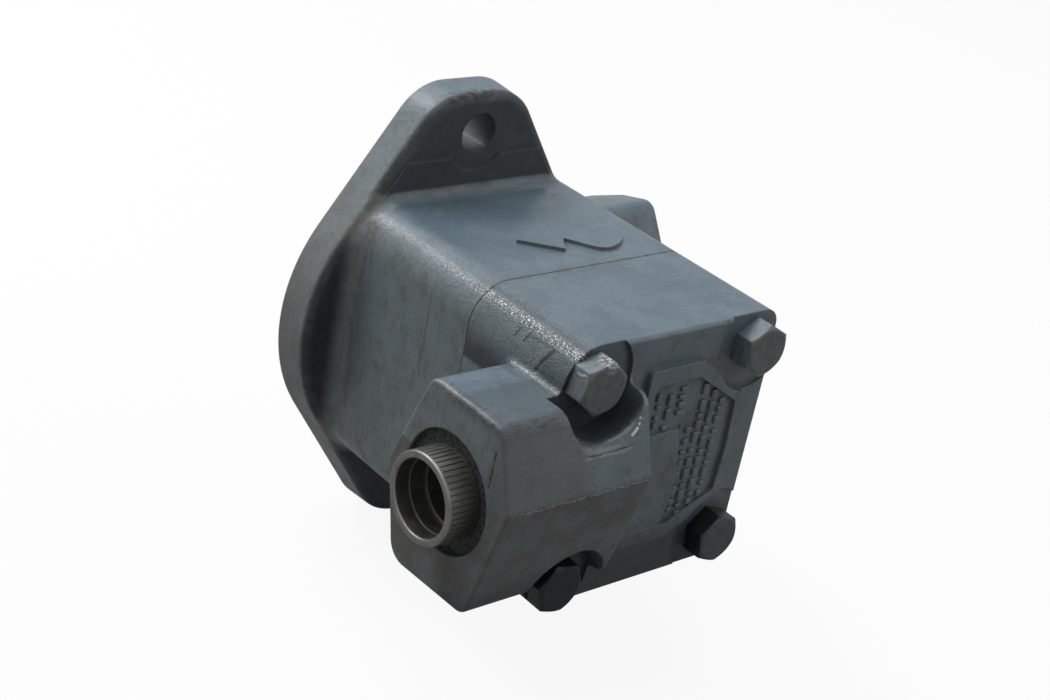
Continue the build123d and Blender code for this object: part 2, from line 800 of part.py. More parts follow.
# ---------------------------------------------------------------- outlet port plug
def outlet_port_plug():
    """Hollow plug that closes the outlet for shipping, with a ribbed rim to grip it by."""
    seat = recess_floor_x
    end = seat + plug_head_length
    head = rod_x(plug_head_radius, seat, end, outlet_y)
    rib_start = seat + plug_flange_width
    rib_end = end - plug_flange_width
    for i in range(plug_rib_count):
        angle = 360 / plug_rib_count * i
        cut = Box(rib_end - rib_start, plug_rib_gap, 2 * plug_rib_depth)
        place = Pos((rib_start + rib_end) / 2, outlet_y, 0) * Rot(angle, 0, 0) * Pos(0, 0, plug_head_radius)
        head -= place * cut
    shank_end = seat - plug_shank_length
    shank_radius = outlet_thread_radius - plug_shank_gap
    shank = rod_x(shank_radius, shank_end, seat, outlet_y)
    bore = rod_x(plug_bore_radius, end - plug_mouth_depth, end + 1, outlet_y)
    bore += rod_x(plug_bore_radius - plug_step, seat, end, outlet_y)
    bore += rod_x(shank_radius - plug_wall, shank_end + plug_wall, end, outlet_y)
    shape = head + shank - bore
    return fillet(shape.faces().sort_by(Axis.X)[-1].edges(), plug_rim_round)


# ---------------------------------------------------------------- all nodes
def build_nodes():
    nodes = {
        "body_casting": body_casting(),
        "outlet_cover": outlet_cover(),
        "cover_bolts": cover_bolts(),
        "cover_o_ring": cover_o_ring(),
        "cam_ring": cam_ring(),
        "locating_pins": locating_pins(),
        "pressure_plate": pressure_plate(),
        "pressure_plate_o_ring": plate_o_ring(),
        "pressure_plate_backup_ring": plate_backup_ring(),
        "pressure_plate_spring": pressure_plate_spring(),
        "drive_shaft": drive_shaft(),
        "shaft_key": shaft_key(),
        "shaft_retaining_ring": shaft_retaining_ring(),
        "bearing_inner_race": bearing_inner_race(),
        "bearing_outer_race": bearing_outer_race(),
        "bearing_balls": bearing_balls(),
        "bearing_cage": bearing_cage(),
        "bearing_retaining_ring": bearing_retaining_ring(),
        "shaft_seal_case": shaft_seal_case(),
        "shaft_seal_lip": shaft_seal_lip(),
        "shaft_seal_spring": shaft_seal_spring(),
        "shaft_bushing": shaft_bushing(),
        "rotor": rotor(),
        "outlet_port_plug": outlet_port_plug(),
    }
    for i, angle in enumerate(vane_angles()):
        nodes[f"vane_{i + 1:02d}"] = vane(angle)
    return nodes


os.makedirs("parts", exist_ok=True)
for name, shape in build_nodes().items():
    export_step(shape, f"parts/{name}.step")
for angle in vane_angles()[:6]:
    travel = cam_radius(angle) - vane_tip_gap - (rotor_radius - vane_tip_inset)
    print(f"vane at {angle:.0f} degrees reaches the cam after {travel:.3f} mm")
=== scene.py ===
# A small hydraulic vane pump: blue-grey enamelled cast iron, bolted together, with a keyed steel shaft.
# The solids keep their own shape and place; this file gives each one its finish and adds the small
# cast and machined details.  Everything is in metres, in the frame of the mounting face.
import math
import random

import bmesh
import bpy
from mathutils import Matrix, Vector


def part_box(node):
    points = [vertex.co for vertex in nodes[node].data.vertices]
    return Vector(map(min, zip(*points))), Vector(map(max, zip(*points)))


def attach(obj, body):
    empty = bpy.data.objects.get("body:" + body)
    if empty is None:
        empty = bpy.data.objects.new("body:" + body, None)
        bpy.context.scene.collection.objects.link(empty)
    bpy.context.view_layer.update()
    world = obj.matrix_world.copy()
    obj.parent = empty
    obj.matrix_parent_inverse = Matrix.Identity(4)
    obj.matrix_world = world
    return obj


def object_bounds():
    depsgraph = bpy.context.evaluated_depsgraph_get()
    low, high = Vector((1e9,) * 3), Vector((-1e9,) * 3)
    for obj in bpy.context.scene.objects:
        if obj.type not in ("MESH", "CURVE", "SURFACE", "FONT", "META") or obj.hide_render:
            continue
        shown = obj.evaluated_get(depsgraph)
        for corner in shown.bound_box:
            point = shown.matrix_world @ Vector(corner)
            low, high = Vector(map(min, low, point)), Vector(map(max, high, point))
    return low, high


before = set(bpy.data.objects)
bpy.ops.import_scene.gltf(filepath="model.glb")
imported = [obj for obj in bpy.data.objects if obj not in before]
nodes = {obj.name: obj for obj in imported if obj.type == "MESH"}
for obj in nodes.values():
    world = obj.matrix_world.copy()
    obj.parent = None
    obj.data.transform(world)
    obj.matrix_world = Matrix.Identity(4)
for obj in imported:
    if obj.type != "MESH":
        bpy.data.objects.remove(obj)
cad_low, cad_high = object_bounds()
bpy.ops.object.select_all(action="DESELECT")
mm = 0.001


# ---------------------------------------------------------------- body casting
# The body is one grey-iron casting with the mounting flange on it, sprayed all over with a blue-grey
# enamel.  The paint lies over sand-cast grain, pools in the corners, carries brown grime and wears
# through along the rim of the flange.  Painted shade darkens its corners and sheltered places, painted
# light lifts its sides, and painted glints lie along the upper outlet corner.
enamel_pale = (0.124, 0.178, 0.220)
enamel_deep = (0.090, 0.138, 0.178)
streak_colour = (0.036, 0.056, 0.074)
grime_colour = (0.066, 0.058, 0.045)
# Painted light: the paler colour given to faces that look along x or y, so that the sides read lighter.
painted_side_light_colour = (0.180, 0.192, 0.176)
# Painted shade: near-black colour laid into corners, holes, recesses and under the pump, also used for
# dark dirt.
painted_shade_and_dirt_colour = (0.015, 0.016, 0.018)
speck_colour = (0.030, 0.026, 0.022)
bare_iron_colour = (0.30, 0.275, 0.245)
# Painted highlight: the pale colour of glints.
painted_glint_colour = (0.62, 0.63, 0.64)
soft_edge = 0.6 * mm


class Value:
    """One value in a material's node tree.  Sums and products on it add Math nodes."""

    def __init__(self, tree, socket=None):
        self.tree = tree
        self.socket = socket

    def node(self, kind, settings, inputs, output=0):
        """Adds a shader node, sets it up, links or sets its sockets and returns one output."""
        made = self.tree.nodes.new("ShaderNode" + kind)
        for name, setting in settings.items():
            setattr(made, name, setting)
        for name, given in inputs.items():
            if isinstance(given, Value):
                self.tree.links.new(given.socket, made.inputs[name])
            else:
                made.inputs[name].default_value = given
        return Value(self.tree, made.outputs[output])

    def maths(self, operation, other, swapped=False):
        first, second = (other, self) if swapped else (self, other)
        return self.node("Math", {"operation": operation}, {0: first, 1: second})

    def __add__(self, other):
        return self.maths("ADD", other)

    def __radd__(self, other):
        return self.maths("ADD", other, True)

    def __sub__(self, other):
        return self.maths("SUBTRACT", other)

    def __rsub__(self, other):
        return self.maths("SUBTRACT", other, True)

    def __mul__(self, other):
        return self.maths("MULTIPLY", other)

    def __rmul__(self, other):
        return self.maths("MULTIPLY", other, True)

    def larger(self, other):
        return self.maths("MAXIMUM", other)

    def size(self):
        """The value without its sign."""
        return self.maths("ABSOLUTE", 0.0)

    def rise(self, low, high, smooth=True):
        """Step from 0 at low to 1 at high; it falls instead where low is above high."""
        ends = {"Value": self, "From Min": min(low, high), "From Max": max(low, high)}
        ends["To Min"], ends["To Max"] = (0.0, 1.0) if low < high else (1.0, 0.0)
        kind = "SMOOTHSTEP" if smooth else "LINEAR"
        return self.node("MapRange", {"interpolation_type": kind}, ends)

    def vector(self, operation, other, output=0):
        return self.node("VectorMath", {"operation": operation}, {0: self, 1: other}, output)

    def axes(self):
        """The x, y and z parts of a point or a direction."""
        return [self.node("SeparateXYZ", {}, {"Vector": self}, i) for i in range(3)]

    def noise(self, size, detail=2.0, roughness=0.55, stretch=None):
        """Noise whose lumps are about size across, drawn out along each axis by the stretch."""
        where = self.vector("DIVIDE", stretch) if stretch else self
        inputs = {"Vector": where, "Scale": 1 / size, "Detail": detail, "Roughness": roughness}
        return self.node("TexNoise", {}, inputs)

    def openness(self, reach):
        """1 on an open surface, falling towards 0 in corners that are closer together than reach."""
        return self.node("AmbientOcclusion", {"samples": 4, "only_local": True}, {"Distance": reach}, 1)

    def off_axis(self, through, across):
        """Distance from a line through a point; across is 1 on the two axes it is measured over."""
        return self.vector("SUBTRACT", through).vector("MULTIPLY", across).vector("LENGTH", (0, 0, 0), 1)

    def to_line(self, start, end):
        """Distance from this point to the stretch between two points."""
        run = Vector(end) - Vector(start)
        reach = self.vector("SUBTRACT", start)
        share = reach.vector("DOT_PRODUCT", run / run.length_squared, 1).rise(0, 1, False)
        foot = share.node("VectorMath", {"operation": "SCALE"}, {0: run, "Scale": share})
        return reach.vector("SUBTRACT", foot).vector("LENGTH", (0, 0, 0), 1)

    def mark(self, start, end, outer, inner, wander=None):
        """Soft mark along the stretch between two points: 1 nearer than inner, 0 beyond outer.
        A wander added to the distance makes its outline uneven."""
        distance = self.to_line(start, end)
        if wander is not None:
            distance = distance + wander
        return distance.rise(outer, inner)

    def mix(self, low, high):
        """Colour between low and high, with this value as the share of high."""
        shades = {0: self}
        for slot, shade in ((6, low), (7, high)):
            shades[slot] = shade if isinstance(shade, Value) else (*shade, 1.0)
        return self.node("Mix", {"data_type": "RGBA"}, shades, 2)


def at(x, y, z):
    """A point given in millimetres."""
    return (x * mm, y * mm, z * mm)


def new_material(name):
    """A material with one Principled shader; returns it, the shader and the piece's own coordinates."""
    material = bpy.data.materials.new(name)
    material.use_nodes = True
    tree = material.node_tree
    place = Value(tree).node("TexCoord", {}, {}, 3)
    return material, tree.nodes["Principled BSDF"], place


def feed(shader, **given):
    """Links values to the shader's sockets, or sets them; underscores stand for spaces."""
    for name, value in given.items():
        socket = shader.inputs[name.replace("_", " ").title()]
        if isinstance(value, Value):
            value.tree.links.new(value.socket, socket)
        else:
            socket.default_value = value


def bumped(height, distance, normal):
    """The normal with a relief on it; distance is how deep a height of 1 is."""
    return height.node("Bump", {}, {"Height": height, "Distance": distance, "Normal": normal})


def enamel(name, marks, wear=1.0):
    """Sprayed enamel on cast iron.  marks adds what lies at one place: it takes the coordinates and
    returns grime, bare metal, painted shade with dark dirt, height in tenths of a millimetre, gloss and
    painted glints."""
    material, shader, place = new_material(name)
    soft = place.node("Bevel", {"samples": 5}, {"Radius": soft_edge})
    facing = place.node("NewGeometry", {}, {}, 3)
    to_x, to_y, to_z = facing.axes()
    level = to_z.rise(0.6, 0.95)
    to_x, to_y, to_z = to_x.size(), to_y.size(), to_z.size()
    edge = soft.vector("DOT_PRODUCT", facing, 1).rise(0.992, 0.93)
    open_air = place.openness(3.5 * mm)
    # Painted shade: corners found by ambient occlusion are darkened with the grime colour.
    corner_grime_and_shade = open_air.rise(0.80, 0.35)
    more_grime, more_bare, painted_shade_and_dirt, more_height, gloss, painted_glint = marks(place)

    cloud = place.noise(17 * mm, 4.0)
    patch = place.noise(6 * mm, 4.0, 0.65)
    fine = place.noise(0.55 * mm, 2.0)
    lumps = place.noise(2.1 * mm, 3.0)
    over_top = place.noise(0.55 * mm, 3.0, 0.6, (9, 1, 1)).rise(0.55, 0.72) * to_z
    down_side = place.noise(1.0 * mm, 3.0, 0.6, (1, 1, 11)).rise(0.52, 0.72) * to_x
    streaks = (over_top + down_side) * 0.42

    speck = fine.rise(0.60, 0.69) * patch.rise(0.42, 0.62)
    # Grime film in patches; it is thinned on upward faces and thickened on faces along y, which is
    # painted light and shade by facing.
    grime_film_and_facing_shade = patch.rise(0.48, 0.74) * 0.42 + cloud.rise(0.55, 0.75) * 0.25
    grime_film_and_facing_shade = grime_film_and_facing_shade * (1 - level * 0.6) + to_y * 0.06
    # Painted light on the faces along x and y, by how they face; none where there is painted shade.
    painted_side_light = (to_x * 0.48 + to_y * 0.32) * (1 - painted_shade_and_dirt)
    grime = grime_film_and_facing_shade.larger(corner_grime_and_shade * 0.6).larger(more_grime)
    outward = edge * open_air.rise(0.72, 0.86)
    rubbed = outward * place.noise(2.6 * mm, 5.0, 0.7).rise(0.50, 0.60) * (1 - painted_shade_and_dirt) * wear
    bare = rubbed.larger(more_bare) * (1 - painted_shade_and_dirt)
    mottle = place.noise(1.3 * mm, 3.0, 0.6).rise(0.40, 0.62)

    shade = cloud.rise(0.38, 0.62).mix(enamel_deep, enamel_pale)
    shade = painted_side_light.mix(shade, painted_side_light_colour)
    shade = (streaks + mottle * 0.13 + fine * 0.08).mix(shade, streak_colour)
    shade = grime.mix(shade, grime_colour)
    # Painted shade: darkens the colour where the marks ask for shade or dark dirt.
    shade = painted_shade_and_dirt.mix(shade, painted_shade_and_dirt_colour)
    shade = (speck * 0.8).mix(shade, speck_colour)
    shade = (bare * 0.75).mix(shade, bare_iron_colour)
    # Painted highlight: glints laid on as a pale colour.
    shade = painted_glint.mix(shade, painted_glint_colour)
    height = fine * 0.45 + lumps * 1.1 + cloud * 3.0 - speck * 0.4 - over_top * 0.3 + more_height
    rough = 0.34 + patch * 0.12 + grime * 0.30 + painted_shade_and_dirt * 0.2 - gloss * 0.27
    feed(shader, base_color=shade, roughness=rough, normal=bumped(height, 0.1 * mm, soft))
    feed(shader, coat_weight=0.08, coat_roughness=0.16)
    # The painted glints are made metallic, and so is the deepest painted shade, which keeps it dark.
    feed(shader, metallic=(painted_glint * 0.7).larger(painted_shade_and_dirt.rise(0.93, 1.0)))
    return material


def dress(node_name, material):
    """Gives a solid its finish."""
    mesh = nodes[node_name].data
    mesh.materials.clear()
    mesh.materials.append(material)


joint_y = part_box("outlet_cover")[0].y
side_x = 35.4 * mm
ear_hole_z = 53.2 * mm
ear_hole_radius = 5.6 * mm


def joint_dirt(place, across, up):
    """Thin brown line and loose stain where the two castings meet, fainter down the side."""
    wander = (place.noise(2 * mm, 3.0) - 0.5) * 0.5 * mm
    seam = (across - joint_y + wander).size()
    line = seam.rise(0.42 * mm, 0.16 * mm) * (up.rise(22 * mm, 35 * mm) * 0.72 + 0.28)
    stain = seam.rise(2.4 * mm, 0.3 * mm) * place.noise(3.5 * mm, 4.0).rise(0.44, 0.66) * 0.5
    return line.larger(stain)


def glitter_band(place):
    """Coarse grain along the upper outlet corner, where the paint lies thin."""
    along = place.axes()[1].rise(20 * mm, 84 * mm)
    ridge = place.mark(at(31.5, 12, 34), at(31.5, 97, 34), 7 * mm, 1.5 * mm)
    return ridge * (along * 0.75 + 0.25)


def painted_grain_glints(place, band):
    """Painted glints on the grain tips along the crown of the corner, standing also for burnished iron.
    """
    crown = place.mark(at(31.5, 14, 34), at(31.5, 97, 34), 2.1 * mm, 0.5 * mm)
    return crown * band * place.noise(0.42 * mm, 2.0, 0.6).rise(0.53, 0.61)


def flange_marks(place, flange, bore):
    """Dirt and worn paint of the flange, and painted shade: grime, bare iron, and painted shade with
    dark dirt.
    """
    x, y, z = place.axes()
    rim = y.rise(14 * mm, 11 * mm) * y.rise(7.5 * mm, 10.5 * mm) * x.rise(20 * mm, 30 * mm)
    grime = rim * place.noise(3 * mm, 5.0).rise(0.40, 0.58) * 0.7
    top_edge = place.mark(at(9, 9.5, 63), at(-4, 9.5, 64), 3.4 * mm, 1.2 * mm)
    grime = grime.larger(top_edge * place.noise(2 * mm, 4.0, 0.65).rise(0.44, 0.56) * 0.9)
    ear_edge = place.mark(at(18.5, 10.8, 59.4), at(28.6, 10.8, 44.8), 3.6 * mm, 1.4 * mm)
    ear_edge = ear_edge * place.noise(2 * mm, 4.0).rise(0.26, 0.54)
    grime = grime.larger(ear_edge * 0.85)

    # Painted shade on the backs of the ears, in the valley between the flange and the outlet side and in
    # the ear holes; the dirt along the ear edge darkens it too.
    near_flange = y.rise(14.5 * mm, 12.7 * mm)
    ear_back_shade = y.rise(8.2 * mm, 9.6 * mm) * near_flange * z.size().rise(37 * mm, 40 * mm)
    ear_back_shade = ear_back_shade * (place.noise(7 * mm, 3.0) * 0.3 + 0.78)
    valley = y.rise(8.8 * mm, 10.6 * mm) * near_flange * x.rise(36 * mm, 40 * mm)
    painted_shade_and_dirt = (ear_back_shade * 0.88).larger(valley * 0.85).larger(bore * 0.62).larger(ear_edge * 0.7)

    rub = place.mark(at(35, 9, 41), at(44, 9.5, 20), 3.0 * mm, 1.0 * mm)
    bare = rub * place.noise(1.8 * mm, 5.0, 0.7).rise(0.52, 0.60) * 0.5
    ear_rub = place.mark(at(15.4, 10.2, 61.8), at(18.2, 10.2, 59.9), 1.3 * mm, 0.5 * mm)
    bare = bare.larger(ear_rub * place.noise(1.5 * mm, 4.0).rise(0.42, 0.56) * 0.7)
    bare = bare.larger(flange * z.rise(55 * mm, 10 * mm) * (place.noise(6 * mm, 4.0) * 0.3 + 0.12))
    return grime, bare, painted_shade_and_dirt


def side_grime(place):
    """Brown dirt on the outlet side: a run below the corner, and stains behind the flange."""
    x, y = place.axes()[:2]
    wander = (place.noise(3 * mm, 2.0) - 0.5) * 0.8 * mm
    run = ((side_x, 44.6 * mm, 31 * mm), (side_x, 44.9 * mm, 4 * mm))
    run = place.mark(*run, 0.55 * mm, 0.1 * mm, wander)
    foot = y.rise(24 * mm, 12 * mm) * x.rise(28 * mm, 35 * mm)
    foot = foot * place.noise(4 * mm, 5.0, 0.6, (1, 1, 3)).rise(0.30, 0.70)
    corner = place.mark(at(33, 13, 37), at(35, 16, 31), 6 * mm, 1 * mm)
    corner = corner * place.noise(2 * mm, 4.0).rise(0.30, 0.60)
    below = place.mark(at(35, 32, 31), at(35, 44, 28), 6 * mm, 1 * mm)
    below = below * place.noise(2 * mm, 4.0, 0.6, (1, 1, 3)).rise(0.40, 0.66)
    return (run * 0.6).larger(foot * 0.42).larger(corner * 0.75).larger(below * 0.5)


def body_marks(place):
    """What lies at each place on the body casting."""
    x, y, z = place.axes()
    flange = y.rise(13 * mm, 10 * mm)
    hole = z.node("CombineXYZ", {}, {0: x, 2: z.size() - ear_hole_z}).vector("LENGTH", (0, 0, 0), 1)
    bore = hole.rise(ear_hole_radius + 0.4 * mm, ear_hole_radius)
    raised_nick = place.mark(at(31, 31, 37), at(35, 34, 33), 0.7 * mm, 0.2 * mm)
    dark_nick = place.mark(at(30, 45.5, 37), at(35, 46, 32), 0.7 * mm, 0.2 * mm)
    grime, bare, painted_shade_and_dirt = flange_marks(place, flange, bore)
    grime = grime.larger(side_grime(place)).larger(joint_dirt(place, y, z)).larger(dark_nick * 0.8)

    machined = y.rise(0.35 * mm, 0.05 * mm)
    overspray = place.noise(9 * mm, 4.0, 0.65).rise(0.56, 0.70)
    bare = bare.larger(machined * (1 - overspray * 0.8))
    turned = place.off_axis((0, 0, 0), (1, 0, 1))
    lathe = turned.node("CombineXYZ", {}, {0: turned}).noise(0.25 * mm, 2.0) * machined

    band = glitter_band(place)
    grain = band * place.noise(0.55 * mm, 3.0, 0.7) * 4.0
    height = grain + raised_nick * 6.0 - dark_nick * 4.0 + lathe * 0.25
    gloss = y.rise(30 * mm, 14 * mm) * place.noise(5 * mm, 3.0).rise(0.40, 0.60) * 0.5
    gloss = (gloss - band * 0.5) * (1 - flange) - flange * 0.3 - bore * 0.2
    return grime, bare, painted_shade_and_dirt, height, gloss, painted_grain_glints(place, band * 0.8)


dress("body_casting", enamel("body_enamel", body_marks))


# ---------------------------------------------------------------- inlet port thread
# The inlet is bored and tapped into the boss on the side, with a straight thread for a hose fitting.
# The thread is cut metal, left unpainted and dark with old oil.
inlet_face_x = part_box("body_casting")[0].x
inlet_y = 30.5 * mm
inlet_radius = 12.4 * mm
thread_pitch = 1.81 * mm
thread_turns = 8
thread_start = 1.2 * mm
steps_per_turn = 56
ridge_radius = 1.0 * mm
ridge_lift = 0.42 * mm
oiled_iron_colour = (0.16, 0.15, 0.135)
# Oil stain, and painted shade in the corners of cut metal.
oil_stain_and_shade_colour = (0.045, 0.038, 0.030)


def tapped_thread(name, turns, start_x):
    """A three-cornered ridge wound round the bore."""
    bpy.ops.object.select_all(action="DESELECT")
    bpy.ops.mesh.primitive_circle_add(vertices=3, radius=ridge_radius, fill_type="NGON",
                                      rotation=(0, 0, math.radians(180)))
    ridge = bpy.context.object
    ridge.name = name
    bpy.ops.object.transform_apply(location=True, rotation=True, scale=True)
    bpy.ops.object.mode_set(mode="EDIT")
    bpy.ops.mesh.select_all(action="SELECT")
    bpy.ops.transform.translate(value=(0, inlet_radius + ridge_lift, 0))
    bpy.ops.object.mode_set(mode="OBJECT")
    winding = ridge.modifiers.new("winding", "SCREW")
    winding.axis = "X"
    winding.steps = steps_per_turn
    winding.render_steps = steps_per_turn
    winding.iterations = turns
    winding.screw_offset = thread_pitch
    bpy.ops.object.modifier_apply(modifier="winding")
    bpy.ops.object.mode_set(mode="EDIT")
    bpy.ops.mesh.select_all(action="SELECT")
    bpy.ops.mesh.remove_doubles(threshold=0.01 * mm)
    bpy.ops.mesh.normals_make_consistent(inside=False)
    bpy.ops.transform.translate(value=(start_x, inlet_y, 0))
    bpy.ops.object.mode_set(mode="OBJECT")
    return ridge


def cut_metal(name, colour, roughness, about, lay=0.12 * mm, grime=0.5):
    """Turned or bored metal: tool rings about a line, oil stain in patches and painted shade in the
    corners.
    about is a point on the line and the two axes that lie across it."""
    material, shader, place = new_material(name)
    centre, across = about
    open_air = place.openness(2 * mm)
    radius = place.off_axis(centre, across)
    along = place.vector("SUBTRACT", centre).vector("DOT_PRODUCT", [1 - part for part in across], 1)
    ring = radius.node("CombineXYZ", {}, {0: radius, 1: along, 2: 0.0})
    rings = ring.noise(lay, 2.0)
    patch = place.noise(4 * mm, 5.0, 0.65)
    # Oil stain in patches, and painted shade where ambient occlusion finds corners; grime sets how much
    # of both.
    stain = (patch.rise(0.45, 0.75) * 0.6).larger(open_air.rise(0.75, 0.35)) * grime
    shade = (rings * 0.5).mix(colour, [part * 0.7 for part in colour])
    shade = stain.mix(shade, oil_stain_and_shade_colour)
    feed(shader, base_color=shade, roughness=roughness + rings * 0.12 + stain * 0.3)
    feed(shader, metallic=1 - stain * 0.5)
    soft = place.node("Bevel", {"samples": 4}, {"Radius": 0.15 * mm})
    feed(shader, normal=bumped(rings, 0.012 * mm, soft))
    return material


thread = tapped_thread("inlet_thread", thread_turns, inlet_face_x + thread_start)
about_inlet = ((0, inlet_y, 0), (0, 1, 1))
tapped_iron = cut_metal("tapped_iron", oiled_iron_colour, 0.42, about_inlet, grime=0.8)
thread.data.materials.append(tapped_iron)
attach(thread, "housing")


# ---------------------------------------------------------------- outlet cover
# The cover is the second iron casting, bolted over the pumping set, with the outlet boss on its side.
# It is painted with the body; the boss keeps a broken flash line where the two mould halves met, and
# a pool of glossy paint lies in the pocket round the upper bolt, which is darkened by painted shade.
cover_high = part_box("outlet_cover")[1]
port_low, port_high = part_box("outlet_port_plug")
port_y = (port_low.y + port_high.y) / 2
port_face_x = cover_high.x
boss_ridge_y = cover_high.y
boss_ridge_z = 5.5 * mm
cover_depth = 36.8 * mm
end_face_y = joint_y + cover_depth
bolt_x = 27.5 * mm
bolt_z = 27.8 * mm
recess_radius = 15.2 * mm
# Painted glints round the bolt pocket and on a corner of the border, in millimetres: the two ends and
# the width.
lip_glints = [
    ((19.6, 105.9, 16.5), (18.1, 105.7, 18.0), 0.45),
    ((17.4, 105.5, 19.0), (17.5, 105.5, 18.8), 0.40),
    ((17.0, 104.8, 20.1), (17.1, 104.8, 20.0), 0.30),
    ((17.2, 103.1, 21.5), (17.3, 103.1, 21.6), 0.35),
    ((19.9, 103.1, 24.0), (19.8, 103.1, 23.9), 0.35),
    ((11.3, 98.4, 27.7), (11.2, 98.4, 27.6), 0.35),
]


def port_recess(place):
    """Floor of the recess round the outlet plug, which is dirty and darkened by painted shade, and the
    pits in it.
    """
    x = place.axes()[0]
    across = place.off_axis((0, port_y, 0), (0, 1, 1)).rise(recess_radius + 0.3 * mm, recess_radius)
    recess = across * x.rise(port_face_x - 0.7 * mm, port_face_x - 1.2 * mm)
    recess = recess * x.rise(port_face_x - 6 * mm, port_face_x - 5 * mm)
    return recess, place.noise(1.1 * mm, 3.0, 0.7).rise(0.50, 0.60)


def boss_marks(place):
    """Dirt under the flash line and on the edges of the outlet boss: grime, bare iron and edge dirt."""
    x, y, z = place.axes()
    under_ridge = (z - boss_ridge_z).rise(0.4 * mm, -0.4 * mm) * (x + y * 0.6).rise(76 * mm, 79 * mm)
    grime = under_ridge * (place.noise(7 * mm, 4.0).rise(0.36, 0.62) * 0.35 + 0.40)
    shoulder = place.mark(at(56, 103, 25), at(42, 103.5, 24), 3.2 * mm, 0.5 * mm)
    grime = grime.larger(shoulder * place.noise(1.2 * mm, 4.0).rise(0.46, 0.60) * 0.8)
    back = x.rise(30 * mm, 37 * mm) * y.rise(99 * mm, 104 * mm)
    grime = grime.larger(back * (place.noise(5 * mm, 3.0) * 0.3 + 0.30))

    from_edge = place.to_line((port_face_x, 77 * mm, 25 * mm), (port_face_x, 103 * mm, 25 * mm))
    bare = from_edge.rise(1.6 * mm, 0.5 * mm) * place.noise(1.5 * mm, 5.0, 0.7).rise(0.46, 0.56) * 0.8
    crest = ((57 * mm, boss_ridge_y, boss_ridge_z), (16 * mm, boss_ridge_y, boss_ridge_z))
    crest = place.mark(*crest, 1.4 * mm, 0.3 * mm) * place.noise(1.2 * mm, 5.0, 0.7).rise(0.48, 0.60)
    bare = bare.larger(crest * 0.5)
    edge_dirt = from_edge.rise(3.4 * mm, 1.2 * mm) * from_edge.rise(0.6 * mm, 1.2 * mm)
    edge_dirt = edge_dirt * place.noise(1.1 * mm, 4.0, 0.7).rise(0.52, 0.59)
    return grime.larger(edge_dirt * 0.9), bare, edge_dirt


def scored_lines(place, wander):
    """Cast step, furrow and two saw cuts over the upper corner, and a scratch on the port face."""
    knee = at(34.6, 87.4, 29.9)
    step = place.mark(at(33.2, 88.4, 32.3), knee, 0.8 * mm, 0.2 * mm, wander)
    step = step.larger(place.mark(knee, at(35.4, 85.2, 24.4), 0.8 * mm, 0.2 * mm, wander))
    furrow = place.mark(at(33.3, 79.9, 32.1), at(33.1, 88.0, 32.5), 0.5 * mm, 0.1 * mm) * 0.35
    first_cut = place.mark(at(33.2, 76.0, 32.3), at(34.4, 75.7, 30.5), 0.28 * mm, 0.1 * mm)
    second_cut = place.mark(at(32.5, 79.4, 33.2), at(34.3, 79.0, 30.6), 0.28 * mm, 0.1 * mm)
    scratch = ((port_face_x, 102.7 * mm, 18.5 * mm), (port_face_x, 102.4 * mm, 9.2 * mm))
    scratch = place.mark(*scratch, 0.4 * mm, 0.05 * mm, wander)
    return step.larger(furrow).larger(first_cut).larger(second_cut).larger(scratch)


def end_face_marks(place):
    """Painted shadow of a groove beside the raised bars, chatter marks near the top and painted shade
    along the foot: grime and painted shade.
    """
    y, z = place.axes()[1:]
    bend = at(-7.9, 97.4, -2.4)
    # Painted shadow: a dark line where a groove would be, with no groove in the shape.
    painted_groove_shadow = place.mark(at(-6.2, 97.4, 9.1), bend, 0.9 * mm, 0.3 * mm)
    painted_groove_shadow = painted_groove_shadow.larger(place.mark(bend, at(-6.5, 97.4, -18.0), 0.9 * mm, 0.3 * mm))
    tool_marks = ((5.2 * mm, end_face_y, 36.6 * mm), (2.5 * mm, end_face_y, 35.6 * mm))
    chatter = place.noise(0.5 * mm, 2.0, 0.5, (1, 1, 6)).rise(0.52, 0.60)
    tool_marks = place.mark(*tool_marks, 0.8 * mm, 0.3 * mm) * chatter
    # Painted shade along the lower part of the end face.
    shade_underneath = z.rise(-14 * mm, -30 * mm) * y.rise(end_face_y - 8 * mm, end_face_y - 2 * mm)
    return (painted_groove_shadow * 0.5).larger(tool_marks), (painted_groove_shadow * 0.6).larger(shade_underneath * 0.86)


def bolt_pocket_shade(place):
    """Painted shade on the floor and wall of the pocket round the upper outlet bolt, and its glossy lip.
    """
    x, y, z = place.axes()
    from_bolt = place.off_axis((bolt_x, 0, bolt_z), (1, 0, 1))
    floor = from_bolt.rise(13 * mm, 12.6 * mm) * y.rise(end_face_y - 1.8 * mm, end_face_y - 1.2 * mm)
    floor = floor * y.rise(end_face_y + 0.6 * mm, end_face_y)
    # The floor's painted shade is weaker towards small x and large z, where the pocket is lit.
    floor = floor * ((x - z).rise(-9 * mm, -4 * mm) * 0.55 + 0.3)
    wall = from_bolt.rise(13.5 * mm, 12.4 * mm) * y.rise(107 * mm, 101 * mm) * z.rise(28 * mm, 20 * mm)
    lip = from_bolt.rise(17 * mm, 13 * mm) * y.rise(end_face_y + 2 * mm, end_face_y + 6 * mm)
    return floor.larger(wall * 0.9), lip


